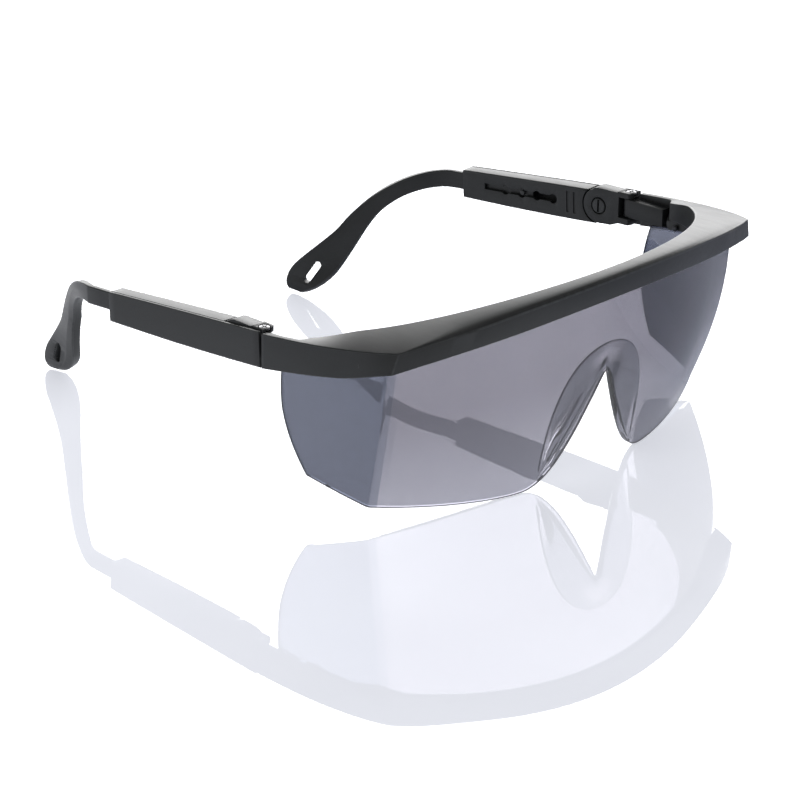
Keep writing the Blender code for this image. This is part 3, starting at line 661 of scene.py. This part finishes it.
def build_pip():
    """Small moulding mark on the arm's outer face, near the corner."""
    face = arm_face(PIP_Y, PIP_Z)
    ring = [(0.62, -0.9), (0.62, 0.36), (0.56, 0.42), (0.44, 0.42), (0.38, 0.36), (0.3, 0.3), (0.02, 0.29)]
    return turned("pip", "x", (PIP_Y, PIP_Z), [(r, face + h) for r, h in ring])


# ---------------------------------------------------------------- hinge and temple

def build_fork():
    """Fork and tilt knuckle, modelled about the tilt pivot."""
    profile = [(WEB_Y, EAR_LOW[0]), (-4.0, -4.6)] + arc(0, 0, KNUCKLE_R, -90, 62, 40)
    profile += [(1.4, 4.9), (0.5, 5.1), (WEB_Y + 0.5, 5.1), (WEB_Y, EAR_TOP[1])]
    fork = prism("fork", profile, "x", BLOCK_IN, BLOCK_OUT)
    sx, sy = SCREW_LOCAL
    outline = [(BLOCK_OUT, WEB_Y + 0.6), (BLOCK_IN, WEB_Y + 0.6), (BLOCK_IN, sy)]
    outline += [(BLOCK_IN + 1.6 * k * k, lerp(sy, EAR_FRONT, math.sqrt(k))) for k in (0.2, 0.5, 0.8, 1.0)]
    outline += [(BLOCK_OUT - 0.3, EAR_FRONT), (BLOCK_OUT, EAR_FRONT + 0.3)]
    for low, high in (EAR_TOP, EAR_LOW):
        join(fork, prism("ear", outline, "z", low, high))
    cut(fork, cylinder("bore", "z", (sx, sy), BORE_R, -8, 8))
    cut(fork, cylinder("head_seat", "z", (sx, sy), HEAD_SEAT[0], EAR_TOP[1] - HEAD_SEAT[1], 8))
    cut(fork, cylinder("boss_bore", "x", (0, 0), BOSS_R, -8, 8))
    cut(fork, cylinder("pin_seat", "x", (0, 0), PIN_SEAT[0], -8, BLOCK_IN + PIN_SEAT[1]))
    soften(fork, 0.16)
    return fork


def build_hinge_screw():
    top = EAR_TOP[1]
    profile = [(0.75, EAR_LOW[0] + 0.2), (0.75, top - 0.75), (1.3, top - 0.75), (1.45, top - 0.6),
               (1.45, top - 0.22), (1.36, top - 0.08), (1.15, top), (0.6, top + 0.03)]
    screw = turned("screw", "z", SCREW_LOCAL, profile)
    x, y = SCREW_LOCAL
    for long, wide in ((0.95, 0.2), (0.2, 0.95)):
        cut(screw, box("drive", (x - long, x + long), (y - wide, y + wide), (top - 0.35, 8)))
    return screw


def build_tilt_pin():
    face = BLOCK_IN - 0.15
    profile = [(1.6, face), (1.92, face + 0.05), (2.05, face + 0.2), (2.05, face + 0.9),
               (0.72, face + 0.95), (0.72, 0.9)]
    pin = turned("pin", "x", (0, 0), profile)
    cut(pin, box("slot", (-8, BLOCK_IN + 0.45), (-0.3, 0.3), (-1.75, 1.75)))
    return pin


def casing_inner(y):
    share = (y - CASING_STRAIGHT) / (CASING_END - CASING_STRAIGHT)
    return lerp(BLOCK_IN, CASING_IN_END, max(0.0, share))


def casing_section(y):
    k = (y - EAR_FRONT) / (CASING_END - EAR_FRONT)
    swell = CASING_SWELL * math.sin(math.pi * k)
    top, low = lerp(*CASING_TOP, k) + 0.3 * swell, lerp(*CASING_LOW, k) - swell
    inner, out = casing_inner(y), CASING_OUT
    seam = 0.16
    corners = [(out, low, 0.5), (out, top, 0.28),
               (out - 0.62, top, 0.04), (out - 0.7, top - seam, 0.04),
               (out - 0.9, top - seam, 0.04), (out - 0.98, top, 0.04),
               (inner, top, 0.5), (inner, low, 0.5)]
    return rounded([(Vector((x, y, z)), r, r) for x, z, r in corners])


def build_casing():
    """Temple box, open at the rear, with a thin wall that covers the hinge fork."""
    casing = loft("casing", [casing_section(lerp(EAR_FRONT, CASING_END, i / 24)) for i in range(25)])
    room = [(0, 9), (-14, 9), (-14, -9), (0, -9)] + arc(0, 0, KNUCKLE_R + CLEAR, -90, 90, 48)
    cut(casing, prism("block_room", room, "x", -9, PLATE_IN))
    bar_x = (BAR_X[0] - BAR_CLEAR, BAR_X[1] + BAR_CLEAR)
    cut(casing, box("bar_room", bar_x, (BAR_ROOM_Y, 60), (BAR_Z[0] - CLEAR, BAR_Z[1] + CLEAR)))
    slot_z = (DETENT_Z - SLOT_HALF, DETENT_Z + SLOT_HALF)
    cut(casing, box("slot", (-9, CHANNEL_X), (DETENTS[0], SLOT_END), slot_z))
    for y in DETENTS:
        cut(casing, cylinder("detent", "x", (y, DETENT_Z), DETENT_R, -9, CHANNEL_X))
    wide, deep, *groove_z = GROOVE_SIZE
    for y in GROOVES:
        cut(casing, box("groove", (-9, casing_inner(y) + deep), (y, y + wide), groove_z))
    soften(casing, 0.1)
    return casing


def build_ear_piece():
    """Sliding bar that becomes the ear piece, modelled about the tilt pivot."""
    x_mid = (BAR_X[0] + BAR_X[1]) / 2
    rails = []
    for z, curve, drop in ((BAR_Z[1], TIP_REAR_BEND, TIP_REAR_DROP),
                           (BAR_Z[0], TIP_FRONT_BEND, TIP_FRONT_DROP)):
        curve = ((x_mid, TIP_STRAIGHT, z),) + curve
        drop = curve[-1:] + drop
        rail = [(x_mid, y, z) for y in (PEG_Y - 3.0, 36.0, 46.5)]
        rail += [bezier(curve, i / 36) for i in range(37)] + [bezier(drop, i / 36) for i in range(1, 37)]
        rails.append([Vector(p) for p in rail])
    rails = list(zip(*rails))
    last = len(rails) - 1
    sections = []
    for i, (rear, front) in enumerate(rails):
        before, after = rails[max(i - 1, 0)], rails[min(i + 1, last)]
        wide = (rear - front).normalized()
        out = (after[0] + after[1] - before[0] - before[1]).cross(wide).normalized()
        half = (rear - front).length / 2
        from_end = (last - i) / TIP_END
        if from_end < 1:
            half *= math.sqrt(1 - 0.9 * (1 - from_end) ** 2)
        grown = smooth((i - 4) / 20)
        thick = lerp((BAR_X[1] - BAR_X[0]) / 2, TIP_HALF_T, grown)
        if last - i < 3:
            thick *= (0.72, 0.9, 0.97)[last - i]
        middle = (rear + front) / 2
        band = grown * 0.55
        corners = [(thick, half, 0.5), (-thick, half, 0.5), (-thick, -half, 0.5),
                   (thick - band, -half, 0.5), (thick, TIP_BAND - half, 0.35)]
        sections.append(rounded([(middle + out * a + wide * b, r, r) for a, b, r in corners]))
    tip = loft("tip", sections)
    cut(tip, slot_cutter(Vector(SLOT_TOP), Vector(SLOT_FOOT), SLOT_R))
    soften(tip, 0.3, segments=3, angle=50)
    return tip


def slot_cutter(start, end, radius):
    """Round-ended slot tool between two points, pushed square through the paddle."""
    along = (end - start).normalized()
    out = Vector((along.y, -along.x, 0)).normalized()
    wide = along.cross(out)
    outline = [(math.cos(a) * radius, math.sin(a) * radius) for a in
               [math.radians(lerp(-90, 90, i / 16)) for i in range(17)]]
    length = (end - start).length
    ring = [(length - 2 * radius + x, y) for x, y in outline] + [(-x, -y) for x, y in outline]
    first = start + along * radius
    return loft("cord_slot", [[first + along * x + wide * y + out * h for x, y in ring]
                              for h in (-6.0, 6.0)])


def build_peg():
    """Sprung stub on the bar that clicks into the casing's holes."""
    x_mid = (BAR_X[0] + BAR_X[1]) / 2
    profile = [(0.35, -2.4), (0.62, -2.32), (PEG_R, -2.1), (PEG_R, x_mid)]
    return turned("peg", "x", (PEG_Y, DETENT_Z), profile, 32)


# ---------------------------------------------------------------- materials

def new_material(name):
    made = bpy.data.materials.new(name)
    made.use_nodes = True
    return made, made.node_tree, made.node_tree.nodes["Principled BSDF"]


def add_node(tree, kind, inputs=(), **settings):
    """New node with its settings, and its inputs set to values or linked to sockets."""
    node = tree.nodes.new(kind)
    for key, value in settings.items():
        setattr(node, key, value)
    for key, value in dict(inputs).items():
        if isinstance(value, bpy.types.NodeSocket):
            tree.links.new(value, node.inputs[key])
        else:
            node.inputs[key].default_value = value
    return node


def noise(tree, scale, detail=2.0, stretch=(1, 1, 1)):
    """Noise factor in the piece's own space; scale is in features per metre."""
    place = add_node(tree, "ShaderNodeTexCoord").outputs["Object"]
    mapped = add_node(tree, "ShaderNodeMapping", {"Vector": place, "Scale": stretch})
    made = add_node(tree, "ShaderNodeTexNoise",
                    {"Vector": mapped.outputs[0], "Scale": scale, "Detail": detail})
    return made.outputs["Fac"]


def remap(tree, value, low, high, from_low=0.3, from_high=0.7):
    made = add_node(tree, "ShaderNodeMapRange", {
        "Value": value, "From Min": from_low, "From Max": from_high, "To Min": low, "To Max": high})
    return made.outputs["Result"]


def mix_colour(tree, factor, a, b):
    made = add_node(tree, "ShaderNodeMix", data_type="RGBA")
    for socket, value in ((0, factor), (6, a), (7, b)):
        if isinstance(value, bpy.types.NodeSocket):
            tree.links.new(value, made.inputs[socket])
        else:
            made.inputs[socket].default_value = value
    return made.outputs[2]


def math_node(tree, operation, a, b):
    return add_node(tree, "ShaderNodeMath", {0: a, 1: b}, operation=operation).outputs[0]


def bump(tree, shader, height, distance, strength):
    made = add_node(tree, "ShaderNodeBump",
                    {"Height": height, "Distance": distance, "Strength": strength})
    tree.links.new(made.outputs[0], shader.inputs["Normal"])


def nylon_material():
    """Satin moulded nylon: fine spark grain, faint flow marks, polished and paler edges."""
    made, tree, shader = new_material("satin_nylon")
    shader.inputs["Specular IOR Level"].default_value = 0.36
    flow = noise(tree, 90, 4, (1, 0.35, 1))
    grain = noise(tree, 5200, 2)
    scuff = noise(tree, 700, 5, (1, 0.2, 1))
    body = mix_colour(tree, remap(tree, flow, 0, 1),
                      (0.0115, 0.0130, 0.0136, 1), (0.0165, 0.0182, 0.0188, 1))
    speck = mix_colour(tree, remap(tree, grain, 0, 0.35, 0.45, 0.75), body, (0.030, 0.032, 0.032, 1))
    worn = add_node(tree, "ShaderNodeAttribute", attribute_name="worn").outputs["Fac"]
    rubbed = math_node(tree, "MULTIPLY", worn, remap(tree, scuff, 0.25, 0.9))
    colour = mix_colour(tree, rubbed, speck, (0.038, 0.041, 0.042, 1))
    tree.links.new(colour, shader.inputs["Base Color"])
    satin = remap(tree, scuff, 0.37, 0.41)
    polished = add_node(tree, "ShaderNodeMath", {0: rubbed, 1: -0.06, 2: satin},
                        operation="MULTIPLY_ADD")
    tree.links.new(polished.outputs[0], shader.inputs["Roughness"])
    bump(tree, shader, grain, 0.00003, 0.3)
    return made


def lens_material():
    """Smoke polycarbonate: clear and glossy, bluer in the side shields, faintly smeared."""
    made, tree, shader = new_material("smoke_polycarbonate")
    shader.inputs["Transmission Weight"].default_value = 1.0
    shader.inputs["IOR"].default_value = 1.58
    place = add_node(tree, "ShaderNodeTexCoord").outputs["Object"]
    height = add_node(tree, "ShaderNodeSeparateXYZ", {0: place}).outputs["Z"]
    side = add_node(tree, "ShaderNodeAttribute", attribute_name="side").outputs["Fac"]
    low = remap(tree, height, 1, 0, 0.002, 0.030)
    cloud = remap(tree, noise(tree, 40, 3), 0, 0.25)
    smoke = mix_colour(tree, low, (0.144, 0.138, 0.165, 1), (0.245, 0.245, 0.284, 1))
    smoke = mix_colour(tree, cloud, smoke, (0.166, 0.160, 0.188, 1))
    tint = mix_colour(tree, side, smoke, (0.069, 0.076, 0.105, 1))
    thick = add_node(tree, "ShaderNodeAttribute", attribute_name="thick").outputs["Fac"]
    deep = mix_colour(tree, thick, tint, (0.034, 0.036, 0.047, 1))
    facing = add_node(tree, "ShaderNodeLayerWeight").outputs["Facing"]
    oblique = remap(tree, facing, 0, 1, 0.45, 0.8)
    path = mix_colour(tree, oblique, (1.0, 1.0, 1.0, 1), (0.42, 0.43, 0.47, 1))
    seen = add_node(tree, "ShaderNodeMix", {0: 1.0, 6: deep, 7: path},
                    data_type="RGBA", blend_type="MULTIPLY")
    tree.links.new(seen.outputs[2], shader.inputs["Base Color"])
    tree.links.new(remap(tree, noise(tree, 260, 5, (1, 1, 0.4)), 0.0, 0.03), shader.inputs["Roughness"])
    bump(tree, shader, noise(tree, 60, 1), 0.00002, 0.3)
    clear = add_node(tree, "ShaderNodeBsdfTransparent", {"Color": (0.5, 0.5, 0.52, 1)})
    ray = add_node(tree, "ShaderNodeLightPath").outputs["Is Shadow Ray"]
    mixed = add_node(tree, "ShaderNodeMixShader", {0: ray, 1: shader.outputs[0], 2: clear.outputs[0]})
    tree.links.new(mixed.outputs[0], tree.nodes["Material Output"].inputs["Surface"])
    return made


def steel_material(name, dull, bright):
    """Turned steel, dulled by handling."""
    made, tree, shader = new_material(name)
    shader.inputs["Metallic"].default_value = 1.0
    tarnish = noise(tree, 1800, 3)
    turned_marks = noise(tree, 9000, 1, (1, 1, 0.15))
    colour = mix_colour(tree, remap(tree, tarnish, 0, 1), (*dull, 1), (*bright, 1))
    tree.links.new(colour, shader.inputs["Base Color"])
    tree.links.new(remap(tree, turned_marks, 0.24, 0.42), shader.inputs["Roughness"])
    bump(tree, shader, turned_marks, 0.00001, 0.4)
    return made


# ---------------------------------------------------------------- studio

def build_floor():
    """Pale, polished table top."""
    made, tree, shader = new_material("table_top")
    tree.nodes.remove(shader)
    speckle = remap(tree, noise(tree, 30, 3), 0.0, 1.0)
    body = mix_colour(tree, speckle, (0.88, 0.90, 0.97, 1), (0.90, 0.92, 0.99, 1))
    matte = add_node(tree, "ShaderNodeBsdfDiffuse", {"Color": body})
    glow = add_node(tree, "ShaderNodeEmission", {"Color": body, "Strength": 0.69})
    base = add_node(tree, "ShaderNodeAddShader", {0: matte.outputs[0], 1: glow.outputs[0]})
    polish = add_node(tree, "ShaderNodeBsdfGlossy", {"Color": (1.0, 0.99, 0.97, 1), "Roughness": 0.012})
    mixed = add_node(tree, "ShaderNodeMixShader", {0: 0.21, 1: base.outputs[0], 2: polish.outputs[0]})
    tree.links.new(mixed.outputs[0], tree.nodes["Material Output"].inputs["Surface"])
    half = 4.0
    corners = [(-half, -half, 0), (half, -half, 0), (half, half, 0), (-half, half, 0)]
    floor = mesh_object("table_top", corners, [(0, 1, 2, 3)])
    floor.data.materials.append(made)


def build_painted_reflection():
    """Painted reflection: a sheet glowing on the table to the right, met only by reflections that come
    down on it.

    It glows by itself, paler in front, so that the lens's far end mirrors this painted grey instead of the
    table.
    """
    made, tree, shader = new_material("painted_reflection_sheet")
    tree.nodes.remove(shader)
    place = add_node(tree, "ShaderNodeTexCoord").outputs["Object"]
    xyz = add_node(tree, "ShaderNodeSeparateXYZ", {0: place})
    fade = remap(tree, xyz.outputs["X"], 0, 1, 0.0, 0.065)
    back = remap(tree, xyz.outputs["Y"], 0, 1, -0.055, -0.012)
    grey = mix_colour(tree, back, (0.42, 0.44, 0.52, 1), (0.11, 0.12, 0.155, 1))
    under = add_node(tree, "ShaderNodeNewGeometry").outputs["Backfacing"]
    cover = math_node(tree, "MULTIPLY", fade, math_node(tree, "SUBTRACT", 1.0, under))
    clear = add_node(tree, "ShaderNodeBsdfTransparent")
    # Painted reflection: the sheet glows with this grey so the lens mirrors it, though it is no lamp
    reflected_glow = add_node(tree, "ShaderNodeEmission", {"Color": grey})
    mixed = add_node(tree, "ShaderNodeMixShader", {0: cover, 1: clear.outputs[0], 2: reflected_glow.outputs[0]})
    tree.links.new(mixed.outputs[0], tree.nodes["Material Output"].inputs["Surface"])
    near, far, side, lift = 0.0, 0.9, 0.5, 0.0002
    corners = [(near, -side, lift), (far, -side, lift), (far, side, lift), (near, side, lift)]
    spread = mesh_object("painted_reflection_sheet", corners, [(0, 1, 2, 3)])
    spread.data.materials.append(made)
    spread.visible_camera = False
    spread.visible_diffuse = False
    spread.visible_transmission = False
    spread.visible_shadow = False


def area_light(name, place, aim, size, radiance):
    """Rectangular light of a given radiance, turned towards a point."""
    lamp = bpy.data.lights.new(name, "AREA")
    lamp.shape = "RECTANGLE"
    lamp.size, lamp.size_y = size
    lamp.energy = radiance * math.pi * size[0] * size[1]
    made = bpy.data.objects.new(name, lamp)
    bpy.context.collection.objects.link(made)
    made.location = place
    made.rotation_euler = (Vector(aim) - Vector(place)).to_track_quat("-Z", "Y").to_euler()


def build_world():
    """Even white surround, darker overhead."""
    world = bpy.data.worlds.new("studio")
    world.use_nodes = True
    bpy.context.scene.world = world
    tree = world.node_tree
    place = add_node(tree, "ShaderNodeTexCoord").outputs["Generated"]
    height = add_node(tree, "ShaderNodeSeparateXYZ", {0: place}).outputs["Z"]
    grey = remap(tree, height, 0.62, 0.25, 0.25, 0.75)
    tree.links.new(grey, tree.nodes["Background"].inputs["Color"])


def camera_axes():
    """The camera's right, up and backward directions."""
    angles = CAMERA_AZIMUTH, CAMERA_ELEVATION, CAMERA_ROLL
    azimuth, elevation, roll = (math.radians(a) for a in angles)
    back = Vector((-math.sin(azimuth) * math.cos(elevation),
                   -math.cos(azimuth) * math.cos(elevation), math.sin(elevation)))
    right = Vector((0, 0, 1)).cross(back).normalized()
    up = back.cross(right)
    return (right * math.cos(roll) + up * math.sin(roll),
            up * math.cos(roll) - right * math.sin(roll), back)


def build_camera():
    right, up, back = camera_axes()
    lens = bpy.data.cameras.new("camera")
    lens.lens = CAMERA_LENS
    lens.sensor_width = 36.0
    lens.clip_start = 0.01
    made = bpy.data.objects.new("camera", lens)
    bpy.context.collection.objects.link(made)
    turn = Matrix((right, up, back)).transposed().to_4x4()
    made.matrix_world = Matrix.Translation(Vector(AIM) + back * CAMERA_DISTANCE) @ turn
    bpy.context.scene.camera = made


def build_studio():
    build_floor()
    build_world()
    build_camera()
    scene = bpy.context.scene
    scene.view_settings.view_transform = "Standard"
    scene.cycles.caustics_refractive = False
    _, _, back = camera_axes()
    away = Vector((-back.x, -back.y, 0)).normalized()
    area_light("backdrop", away * BACKDROP_AWAY + Vector((0, 0, BACKDROP_HEIGHT)),
               (0, 0, BACKDROP_AIM), BACKDROP_SIZE, BACKDROP_RADIANCE)
    # Sheet of painted reflection, seen only by reflections
    build_painted_reflection()


# ---------------------------------------------------------------- assembly

def main():
    nylon, smoke = nylon_material(), lens_material()
    steel = steel_material("turned_steel", (0.24, 0.24, 0.25), (0.38, 0.38, 0.39))
    blackened = steel_material("blackened_steel", (0.035, 0.036, 0.040), (0.06, 0.062, 0.066))
    front = ("front", FRONT)
    finish(build_brow(), "brow_moulding", *front, nylon, "black_nylon", "brow_frame")
    finish(build_lens(), "lens_moulding", *front, smoke, "smoke_polycarbonate", "lens")
    finish_pair(build_tongue(), "hinge_tongue", *front, nylon, "black_nylon")
    finish_pair(build_pip(), "arm_mark", *front, nylon, "black_nylon")
    finish_pair(build_stud(), "shield_stud", *front, blackened, "dark_steel", "lens_stud")
    finish_pair(build_fork(), "hinge_fork", "hinge", HINGE, nylon, "black_nylon", "hinge_block")
    finish_pair(build_hinge_screw(), "cross_screw", "hinge", HINGE, steel, "dark_steel", "hinge_screw")
    finish_pair(build_tilt_pin(), "tilt_screw", "temple", HINGE, nylon, "black_nylon", "tilt_pin")
    finish_pair(build_casing(), "temple_box", "temple", TEMPLE, nylon, "black_nylon", "temple_casing")
    slide = Vector(joint("extend_L")["axis"]) * LEFT_CLICK * MM
    finish_pair(build_ear_piece(), "ear_piece", "tip", TEMPLE, nylon, "black_nylon", "temple_tip", slide)
    finish_pair(build_peg(), "click_peg", "tip", TEMPLE, nylon, "black_nylon", None, slide)
    build_studio()


main()
